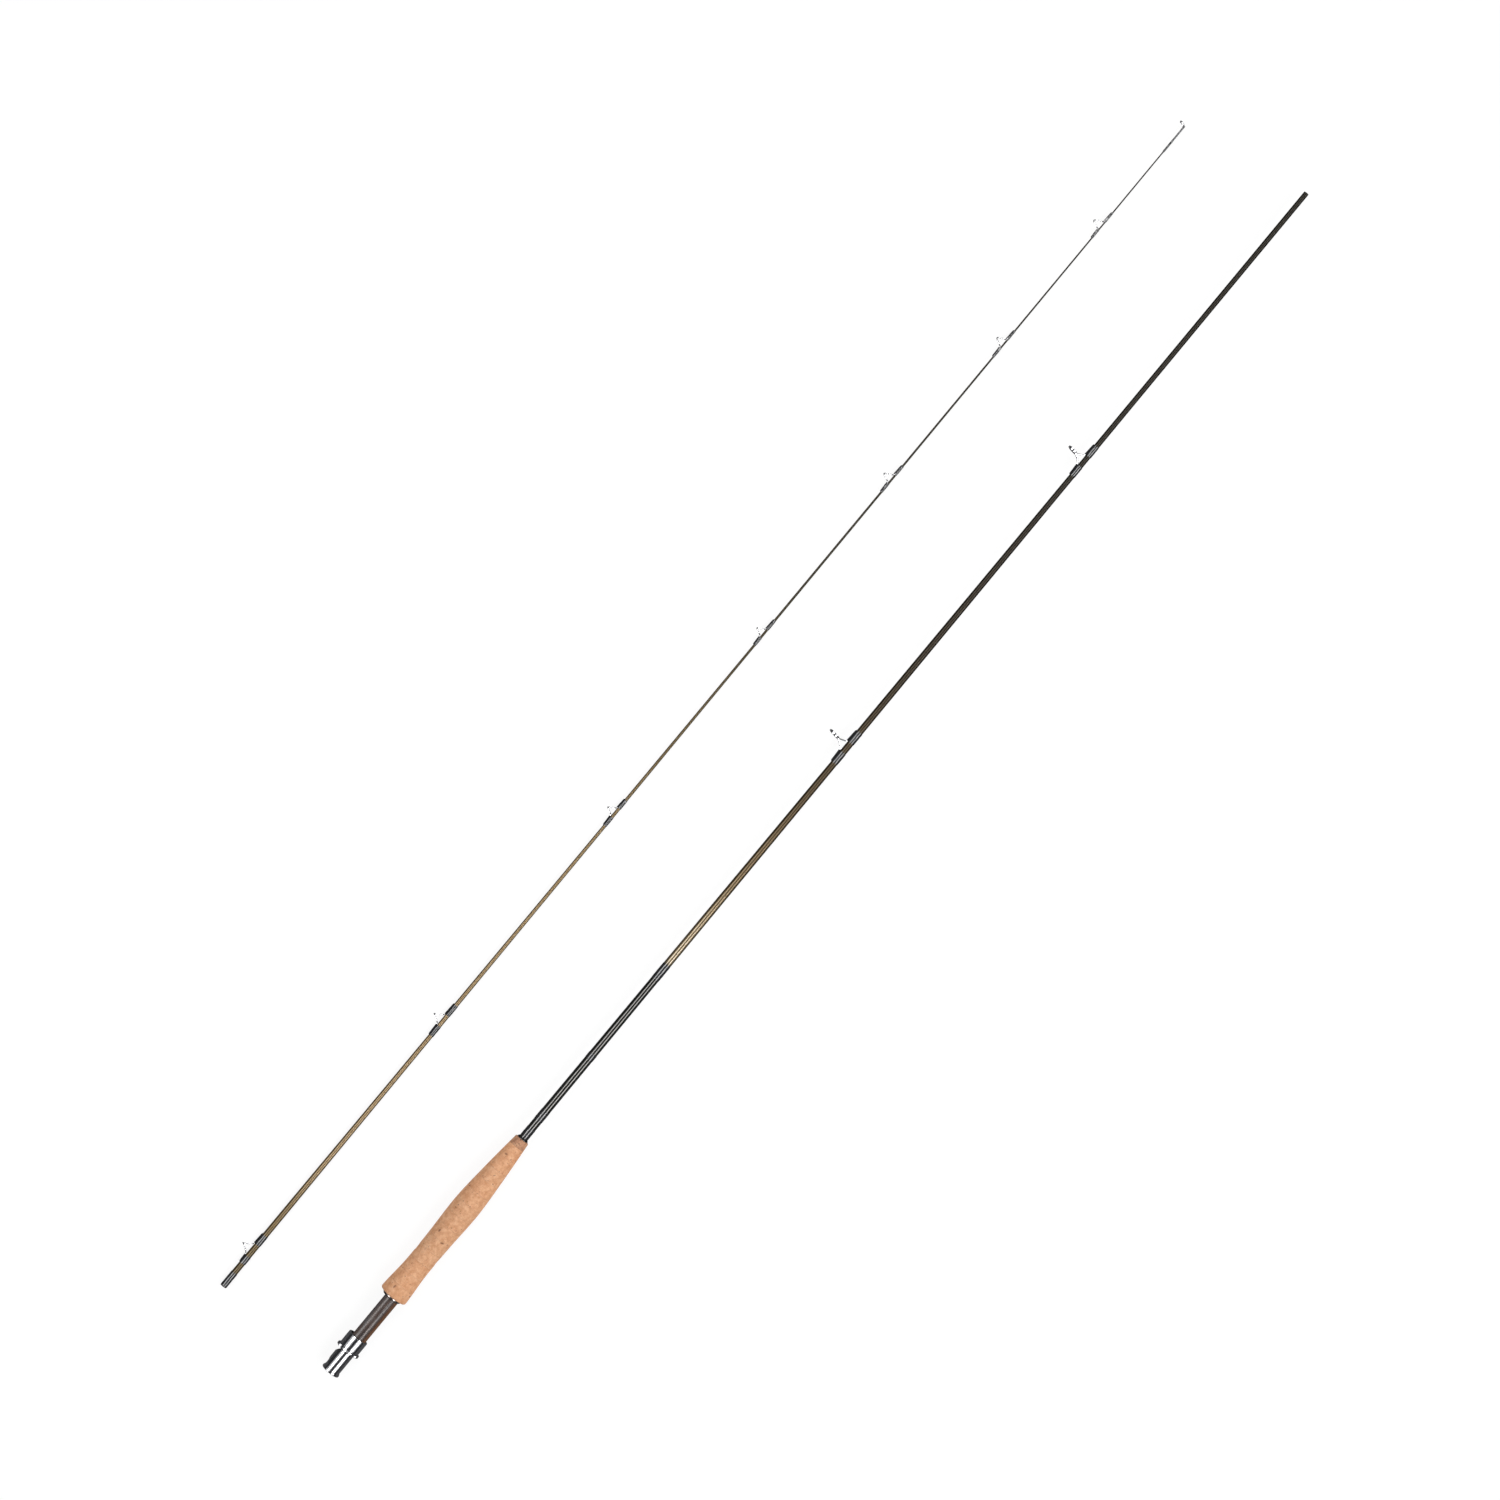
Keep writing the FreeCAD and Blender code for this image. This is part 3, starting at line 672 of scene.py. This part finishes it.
def make_camera(settings):
    """A camera straight above the rod, turned so that the rod lies from corner to corner."""
    camera = bpy.data.objects.new("camera", bpy.data.cameras.new("camera"))
    bpy.context.scene.collection.objects.link(camera)
    camera.data.sensor_width = SENSOR_WIDTH
    camera.data.lens = SENSOR_WIDTH * settings.camera_height / settings.picture_width
    camera.data.clip_end = 100.0
    camera.location = (settings.aim_x, settings.aim_y, settings.camera_height)
    camera.rotation_euler = (0.0, 0.0, -settings.picture_angle)
    bpy.context.scene.camera = camera


def butt_blank_finish():
    """Gloss black paint behind the last label wrap, then bronze. The brighter tan just past the paint and the
    fade to near black at the ferrule are painted reflection of the light, fading with distance from it.
    """
    black = (0.006, 0.007, 0.006)
    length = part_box("butt_blank")[1].x
    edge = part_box("label_wrap_4")[1].x / length
    paint_end = edge - 0.0005
    # Painted reflection: the bronze stops brighten just past the paint and fade to near black towards the
    # ferrule.
    colour_and_painted_reflection = [
        (0.0, black), (paint_end, black), (edge, (0.13, 0.105, 0.069)), (edge + 0.03, (0.115, 0.09, 0.057)),
        (edge + 0.08, (0.062, 0.044, 0.024)), (0.49, (0.032, 0.023, 0.013)), (0.6, (0.017, 0.013, 0.009)),
        (0.75, (0.01, 0.009, 0.008)), (1.0, (0.006, 0.006, 0.006)),
    ]
    gloss = [(0.0, 0.8), (edge, 0.6), (edge + 0.05, 0.12), (0.5, 0.04), (0.7, 0.02)]
    metal = [(edge, 0.65), (0.49, 0.6), (0.6, 0.3), (0.8, 0.05)]
    return blank_finish("butt_blank_bronze", BUTT_AXIS, colour_and_painted_reflection, gloss, metal, length, paint_end, edge)


def tip_blank_finish():
    """Olive at the ferrule, bronze, then near black towards the tip. The brighter bronze stretch and the fade
    to near black are painted reflection of the light, fading along the blank.
    """
    start, end = (corner.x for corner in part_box("tip_blank"))
    # Painted reflection: brighter bronze from about a tenth to a third of the way up, fading to near black
    # towards the tip.
    colour_and_painted_reflection = [
        (0.0, (0.05, 0.037, 0.017)), (0.05, (0.085, 0.06, 0.028)), (0.11, (0.145, 0.105, 0.06)),
        (0.36, (0.115, 0.082, 0.043)), (0.46, (0.065, 0.047, 0.022)), (0.6, (0.022, 0.018, 0.01)),
        (1.0, (0.006, 0.006, 0.006)),
    ]
    gloss = [(0.0, 0.12), (0.4, 0.08), (0.6, 0.05)]
    metal = [(0.0, 0.3), (0.11, 0.45), (0.4, 0.5), (0.6, 0.2), (0.8, 0.03)]
    axis = Vector((start, TIP_AXIS.y, TIP_AXIS.z))
    return blank_finish("tip_blank_olive", axis, colour_and_painted_reflection, gloss, metal, end - start, 0.0, 0.001)


def blank_outline(settings, node, axis):
    """(x, radius) points along the outside of a blank, a little short of its ends."""
    surface = surface_of(node)
    start, end = (corner.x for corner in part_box(node))
    inset = 0.01 * MM
    rows = max(2, int((end - start) / settings.blank_step))
    stations = [start + inset + (end - start - 2 * inset) * i / rows for i in range(rows + 1)]
    return start, end, [(x, radius_of(surface, x, axis)) for x in stations]


def add_blank(settings, node, axis, profile, material):
    """One blank, turned from the points along its outside and its ferrule's bore."""
    mesh = lathe(node + "_finished", profile, axis, settings.blank_segments, False)
    smooth(mesh, 40.0)
    new_piece(node + "_finished", mesh, body_of(node), material, [node])


def make_blanks(settings):
    """Both tapered blanks, with the open ends of their ferrules."""
    lip = 0.25 * MM
    start, end, outer = blank_outline(settings, "butt_blank", BUTT_AXIS)
    first, last = outer[0][1], outer[-1][1]
    bore, depth = settings.male_bore, settings.male_depth
    nose = [(end - 1.5 * lip, last), (end - 0.5 * lip, last - 0.15 * lip), (end, last - lip),
            (end, bore + 0.5 * lip), (end - lip, bore), (end - depth, bore), (end - depth, 0.0)]
    add_blank(settings, "butt_blank", BUTT_AXIS, [(start, 0.0), (start, first * 0.8)] + outer[:-1] + nose,
              butt_blank_finish())

    start, end, outer = blank_outline(settings, "tip_blank", TIP_AXIS)
    first, last = outer[0][1], outer[-1][1]
    bore, depth = MOUNTS["female_ferrule"]["dims"]["r_mm"] * MM, settings.female_depth
    mouth = [(start + depth, 0.0), (start + depth, bore), (start + lip, bore), (start, bore + lip),
             (start, first - 0.5 * lip)]
    add_blank(settings, "tip_blank", TIP_AXIS, mouth + outer + [(end, last * 0.6), (end, 0.0)],
              tip_blank_finish())


def make_grip(settings):
    """Fourteen cork rings, glued face to face, sanded to one outline and left with their pits."""
    cork = cork_finish("cork", (0.66, 0.33, 0.16), (0.75, 0.42, 0.23), (0.56, 0.25, 0.105), (0.17, 0.06, 0.02))
    dense = cork_finish("dense_cork", (0.46, 0.22, 0.11), (0.58, 0.32, 0.17), (0.33, 0.14, 0.07),
                        (0.12, 0.05, 0.025))
    outline = surface_of(*CORK_RINGS)
    bore_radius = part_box("butt_blank")[1].y
    grip_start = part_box(CORK_RINGS[0])[0].x
    grip_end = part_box("winding_check")[0].x
    rows, columns = settings.cork_rows, settings.cork_columns
    turns = np.linspace(0.0, 2 * math.pi, columns, endpoint=False)
    for number, node in enumerate(CORK_RINGS):
        name = "cork_%02d" % (number + 1)
        last = number == len(CORK_RINGS) - 1
        draw = random.Random(100 + number)
        start, end = (corner.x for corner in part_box(node))
        x = np.linspace(start + RING_GAP, end - RING_GAP, rows)
        radius = np.array([radius_of(outline, float(at), BUTT_AXIS) for at in x]) - SANDED_OFF
        pits = np.zeros((rows, columns))
        for _ in range(settings.small_pits * (2 if last else 1)):
            add_pit(pits, x, radius, turns, draw, start, end, *SMALL_PIT)
        for _ in range(draw.choice((1, 2, 2, 3))):
            add_pit(pits, x, radius, turns, draw, start, end, *LARGE_PIT)
        tone = draw.random()
        from_joint = np.minimum(x - start, end - x)
        seam = np.exp(-(from_joint / SEAM_WIDTH) ** 2)
        seam[(x - grip_start < SEAM_FREE) | (grip_end - x < SEAM_FREE)] = 0.0
        depth = pits * settings.pit_depth + (seam * settings.seam_depth)[:, None]
        mesh = ring_mesh(name, x, radius[:, None] - depth, turns, bore_radius)
        store(mesh, "pit", pits)
        store(mesh, "seam", np.repeat(seam[:, None], columns, axis=1))
        store(mesh, "tone", np.full((rows, columns), tone))
        smooth(mesh, 50.0)
        new_piece(name, mesh, body_of(node), dense if last else cork, [node])


def add_pit(pits, x, radius, turns, draw, start, end, low, high):
    """Presses one oval pit into a map of depths, 0 for none and 1 for full. Many lie near a glue line."""
    at = draw.uniform(start, end) if draw.random() < 0.6 else start + abs(draw.gauss(0.0, 1.2 * MM))
    turn = draw.uniform(0, 2 * math.pi)
    long_side = draw.uniform(low, high)
    short_side = long_side * draw.uniform(0.3, 0.6)
    tilt = draw.uniform(-0.5, 0.5) + (math.pi / 2 if draw.random() < 0.6 else 0.0)
    across = radius[:, None] * ((turns - turn + math.pi) % (2 * math.pi) - math.pi)
    along = (x - at)[:, None]
    p = (along * math.cos(tilt) + across * math.sin(tilt)) / long_side
    q = (across * math.cos(tilt) - along * math.sin(tilt)) / short_side
    fade = np.clip(1.4 - 1.4 * (p * p + q * q), 0.0, 1.0) * draw.uniform(0.55, 1.0)
    np.maximum(pits, fade, out=pits)


def ring_mesh(name, x, surface, turns, bore_radius):
    """A closed ring: an outer surface given row by row, two end faces and a plain bore."""
    rows, columns = surface.shape
    bore = np.full((2, columns), bore_radius)
    radii = np.vstack([surface, bore])
    along = np.concatenate([x, [x[-1], x[0]]])
    along = np.repeat(along[:, None], columns, axis=1)
    points = np.stack([along, radii * np.cos(turns), radii * np.sin(turns)], axis=-1).reshape(-1, 3)
    faces = []
    for i in range(rows + 2):
        j = (i + 1) % (rows + 2)
        for k in range(columns):
            m = (k + 1) % columns
            faces.append((i * columns + k, j * columns + k, j * columns + m, i * columns + m))
    mesh = bpy.data.meshes.new(name)
    mesh.from_pydata(points.tolist(), [], faces)
    mesh.update()
    return mesh


def store(mesh, name, values):
    """A value for each point of a ring. The two bore rows copy the rows at the ends."""
    full = np.vstack([values, values[-1:], values[:1]]).astype(np.float32)
    layer = mesh.attributes.new(name, "FLOAT", "POINT")
    layer.data.foreach_set("value", full.ravel())


def make_seat(settings):
    """Butt cap, varnished insert, knurled slide ring, trim ring and winding check."""
    bright = metal_finish("polished_nickel", tuple(settings.metal), 0.13)
    dark = metal_finish("dark_nickel", (0.13, 0.115, 0.11), 0.24)
    black = metal_finish("black_check", (0.02, 0.02, 0.02), 0.35)
    dress("butt_cap", bright)
    new_piece("seat_insert_finished", merged_copy("reel_seat_insert"), "butt_section", wood_finish(settings),
              ["reel_seat_insert"])
    dress("seat_trim_ring", dark)
    dress("winding_check", black)
    make_slide_ring(settings, bright)
    arbor = frame["nodes"]["reel_seat_arbor"].data
    arbor.materials.clear()
    arbor.materials.append(foam_finish())


def make_slide_ring(settings, material):
    """A plain sleeve with a rolled, knurled rim that a thumb can push."""
    low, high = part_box("slide_ring")
    rim_end = low.x + settings.rim_width
    sleeve = radius_of(surface_of("slide_ring"), (rim_end + high.x) / 2, BUTT_AXIS)
    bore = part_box("reel_seat_insert")[1].z + 0.06 * MM
    ridge = 0.28 * MM
    root = high.y - 0.9 * ridge
    slope = 0.5 * MM
    groove = rim_end + 1.0 * MM
    profile = rounded([
        (low.x, bore), (low.x, root - slope), (low.x + slope, root), (rim_end - slope, root),
        (rim_end, root - slope), (rim_end + 0.25 * MM, sleeve), (groove, sleeve - 0.12 * MM),
        (groove + 0.3 * MM, sleeve), (high.x - 0.45 * MM, sleeve), (high.x, sleeve - 0.45 * MM), (high.x, bore),
    ], 0.2 * MM)
    mesh = lathe("slide_ring_finished", profile, BUTT_AXIS, 128, True)
    smooth(mesh, 40.0)
    new_piece("slide_ring_finished", mesh, "slide_ring", material, ["slide_ring"])
    tree, keys = knurl_tree()
    ridges = run_tree("slide_ring_knurl", tree, keys, {
        "Radius": high.y - ridge, "Width": settings.rim_width - 1.0 * MM, "Ridge": ridge,
        "Count": settings.knurls, "Material": material,
    })
    ridges.transform(Matrix.Translation(((low.x + rim_end) / 2, 0.0, 0.0)))
    smooth(ridges, 50.0)
    new_piece("slide_ring_knurl", ridges, "slide_ring", material)


def make_wraps(settings):
    """Every thread wrap: plain bands, and bands that climb over a guide's foot."""
    tree, keys = wound_thread_tree()
    finishes = {
        "butt_section": thread_finish("black_thread_butt", BUTT_AXIS, settings),
        "tip_section": thread_finish("black_thread_tip", TIP_AXIS, settings),
    }
    blanks = {"butt_section": surface_of("butt_blank"), "tip_section": surface_of("tip_blank")}
    for number, node in enumerate(WRAPS):
        body = body_of(node)
        axis = axis_of(node)
        low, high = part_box(node)
        length = high.x - low.x
        turns = round(length / settings.thread_pitch)
        guide = node.replace("_rear_wrap", "").replace("_front_wrap", "")
        foot = frame["nodes"].get(guide + "_frame") or frame["nodes"][guide]
        plain = guide == node
        mesh = run_tree(node + "_finished", tree, keys, {
            "Form": frame["nodes"][node], "Foot": foot, "Cover": -1 * MM if plain else settings.foot_cover,
            "Start": low.x, "Length": length, "Axis Y": axis.y, "Axis Z": axis.z,
            "Blank Radius": radius_of(blanks[body], low.x + 0.05 * MM, axis),
            "Thickness": settings.finish_thickness * (2.0 if plain else 1.0),
            "Turns": float(turns), "Relief": settings.relief, "Waviness": settings.waviness,
            "Seed": 7.3 * number, "Rows": 4 * turns + 5, "Columns": settings.wrap_columns + 1,
            "Material": finishes[body],
        })
        smooth(mesh, 60.0)
        new_piece(node + "_finished", mesh, body, finishes[body], [node])


def make_guides(settings):
    """Stripping guides with their hard rings, snake guides and the tip-top."""
    wire = {
        "butt_section": metal_finish("bright_guide_wire_butt", tuple(settings.wire), 0.16),
        "tip_section": metal_finish("bright_guide_wire_tip", tuple(settings.wire), 0.16, axis=TIP_AXIS),
    }
    blackened = metal_finish("blackened_tube", (0.05, 0.05, 0.052), 0.3, axis=TIP_AXIS)
    ceramic = ceramic_finish()
    for node in sorted(set(frame["nodes"]) - set(WRAPS)):
        if node.startswith("stripping") and node.endswith("_ring"):
            dress(node, ceramic)
        elif node.startswith(("stripping", "snake")):
            dress(node, wire[body_of(node)])
        elif node.startswith("tip_top"):
            dress(node, wire["tip_section"] if node == "tip_top_loop" else blackened)


# ---------------------------------------------------------------- settings, operators and panel

def length_setting(label, text, default):
    return bpy.props.FloatProperty(name=label, description=text, default=default, unit="LENGTH", precision=5,
                                   min=0.0)


def colour_setting(label, text, default):
    return bpy.props.FloatVectorProperty(name=label, description=text, default=default, subtype="COLOR", size=3,
                                         min=0.0, max=1.0)


def number_setting(label, text, default):
    return bpy.props.FloatProperty(name=label, description=text, default=default, min=0.0)


def count_setting(label, text, default):
    return bpy.props.IntProperty(name=label, description=text, default=default, min=1)


class RodStageSettings(bpy.types.PropertyGroup):
    floor_size: length_setting("Floor size", "Side of the square floor", 60.0)
    floor_colour: colour_setting("Floor colour", "Colour of the floor", (0.93, 0.93, 0.93))
    floor_glow: number_setting("Floor glow", "Share of the floor's light that casts no shadow", 0.82)
    light_length: length_setting("Light length", "Length of each strip light", 2.6)
    key_width: length_setting("Key width", "Width of the brighter strip light", 0.88)
    fill_width: length_setting("Fill width", "Width of the softer strip light", 1.2)
    key_power: number_setting("Key power", "Power of the brighter strip light, in watts", 15.5)
    fill_power: number_setting("Fill power", "Power of the softer strip light, in watts", 12.0)
    glint_width: length_setting("Glint width", "Width of the two narrow lights seen in reflections", 0.26)
    glint_power: number_setting("Glint power", "Power of the two narrow lights, in watts", 48.0)
    sky: number_setting("Sky", "Strength of the even light from all round", 0.24)
    reflected_sky: number_setting("Reflected sky", "Strength of the sky in reflections", 0.06)
    camera_height: length_setting("Camera height", "Height of the camera above the rod", 3.2)
    picture_width: length_setting("Picture width", "Width that the picture takes in", 1.3005)
    picture_angle: bpy.props.FloatProperty(name="Picture angle", description="How far the picture is turned",
                                           default=math.radians(50.35), unit="ROTATION")
    aim_x: length_setting("Aim along", "Place along the rod under the camera", 0.6472)
    aim_y: length_setting("Aim across", "Place across the rod under the camera", 0.0634)


class RodBlankSettings(bpy.types.PropertyGroup):
    blank_step: length_setting("Step", "Distance between rows of points along a blank", 0.006)
    blank_segments: count_setting("Segments", "Points round a blank", 48)
    male_bore: length_setting("Male bore", "Radius of the hollow in the male ferrule", 0.00155)
    male_depth: length_setting("Male depth", "Depth of the hollow in the male ferrule", 0.03)
    female_depth: length_setting("Female depth", "Depth of the female ferrule's bore", 0.0615)


class RodGripSettings(bpy.types.PropertyGroup):
    cork_rows: count_setting("Rows", "Rows of points along one cork ring", 34)
    cork_columns: count_setting("Columns", "Points round one cork ring", 200)
    small_pits: count_setting("Small pits", "Small pits on each ring", 20)
    pit_depth: length_setting("Pit depth", "Depth of the deepest pit", 0.00045)
    seam_depth: length_setting("Seam depth", "Depth of the groove at a glue line", 0.00005)


class RodSeatSettings(bpy.types.PropertyGroup):
    metal: colour_setting("Metal", "Colour of the cap and slide ring", (0.34, 0.34, 0.355))
    wood: colour_setting("Wood", "Main colour of the insert", (0.034, 0.021, 0.018))
    rim_width: length_setting("Rim width", "Width of the slide ring's rim", 0.0029)
    knurls: count_setting("Knurls", "Ridges round the slide ring's rim", 96)


class RodWrapSettings(bpy.types.PropertyGroup):
    thread: colour_setting("Thread", "Colour of the thread", (0.014, 0.014, 0.017))
    thread_pitch: length_setting("Thread pitch", "Distance from one turn to the next", 0.0003)
    finish_thickness: length_setting("Thickness", "Thread and clear finish together", 0.0003)
    relief: length_setting("Relief", "How far the turns show through the finish", 0.000006)
    waviness: length_setting("Waviness", "Unevenness of the finish", 0.0003)
    foot_cover: length_setting("Foot cover", "Thread over a guide's foot", 0.00012)
    wrap_columns: count_setting("Columns", "Points round one wrap", 48)


class RodGuideSettings(bpy.types.PropertyGroup):
    wire: colour_setting("Wire", "Colour of the guide wire", (0.55, 0.55, 0.57))


STEPS = (
    ("stage", "Stage", RodStageSettings),
    ("blanks", "Blanks", RodBlankSettings),
    ("grip", "Cork grip", RodGripSettings),
    ("seat", "Reel seat", RodSeatSettings),
    ("wraps", "Thread wraps", RodWrapSettings),
    ("guides", "Line guides", RodGuideSettings),
)


class RodSettings(bpy.types.PropertyGroup):
    stage: bpy.props.PointerProperty(type=RodStageSettings)
    blanks: bpy.props.PointerProperty(type=RodBlankSettings)
    grip: bpy.props.PointerProperty(type=RodGripSettings)
    seat: bpy.props.PointerProperty(type=RodSeatSettings)
    wraps: bpy.props.PointerProperty(type=RodWrapSettings)
    guides: bpy.props.PointerProperty(type=RodGuideSettings)


class FLYROD_OT_stage(bpy.types.Operator):
    """Make the floor, the lights and the camera"""
    bl_idname = "fly_rod.stage"
    bl_label = "Make stage"

    def execute(self, context):
        make_stage(context.scene.fly_rod.stage)
        return {"FINISHED"}


class FLYROD_OT_blanks(bpy.types.Operator):
    """Make the two tapered blanks"""
    bl_idname = "fly_rod.blanks"
    bl_label = "Make blanks"

    def execute(self, context):
        make_blanks(context.scene.fly_rod.blanks)
        return {"FINISHED"}


class FLYROD_OT_grip(bpy.types.Operator):
    """Make the rings of the cork grip"""
    bl_idname = "fly_rod.grip"
    bl_label = "Make cork grip"

    def execute(self, context):
        make_grip(context.scene.fly_rod.grip)
        return {"FINISHED"}


class FLYROD_OT_seat(bpy.types.Operator):
    """Make the reel seat's cap, insert and rings"""
    bl_idname = "fly_rod.seat"
    bl_label = "Make reel seat"

    def execute(self, context):
        make_seat(context.scene.fly_rod.seat)
        return {"FINISHED"}


class FLYROD_OT_wraps(bpy.types.Operator):
    """Wind the thread wraps"""
    bl_idname = "fly_rod.wraps"
    bl_label = "Make thread wraps"

    def execute(self, context):
        make_wraps(context.scene.fly_rod.wraps)
        return {"FINISHED"}


class FLYROD_OT_guides(bpy.types.Operator):
    """Make the line guides and the tip-top"""
    bl_idname = "fly_rod.guides"
    bl_label = "Make line guides"

    def execute(self, context):
        make_guides(context.scene.fly_rod.guides)
        return {"FINISHED"}


class FLYROD_PT_panel(bpy.types.Panel):
    """The rod's pieces and their settings"""
    bl_label = "Fly Rod"
    bl_idname = "FLYROD_PT_panel"
    bl_space_type = "VIEW_3D"
    bl_region_type = "UI"
    bl_category = "Fly Rod"

    def draw(self, context):
        for key, label, group in STEPS:
            box = self.layout.box()
            box.label(text=label)
            settings = getattr(context.scene.fly_rod, key)
            for name in group.__annotations__:
                box.prop(settings, name)
            box.operator("fly_rod." + key)


CLASSES = (
    RodStageSettings, RodBlankSettings, RodGripSettings, RodSeatSettings, RodWrapSettings, RodGuideSettings,
    RodSettings, FLYROD_OT_stage, FLYROD_OT_blanks, FLYROD_OT_grip, FLYROD_OT_seat, FLYROD_OT_wraps,
    FLYROD_OT_guides, FLYROD_PT_panel,
)


def register():
    for cls in CLASSES:
        bpy.utils.register_class(cls)
    bpy.types.Scene.fly_rod = bpy.props.PointerProperty(type=RodSettings)


def unregister():
    del bpy.types.Scene.fly_rod
    for cls in reversed(CLASSES):
        bpy.utils.unregister_class(cls)


def main():
    register()
    for key, _label, _group in STEPS:
        getattr(bpy.ops.fly_rod, key)()


if __name__ == "__main__":
    main()
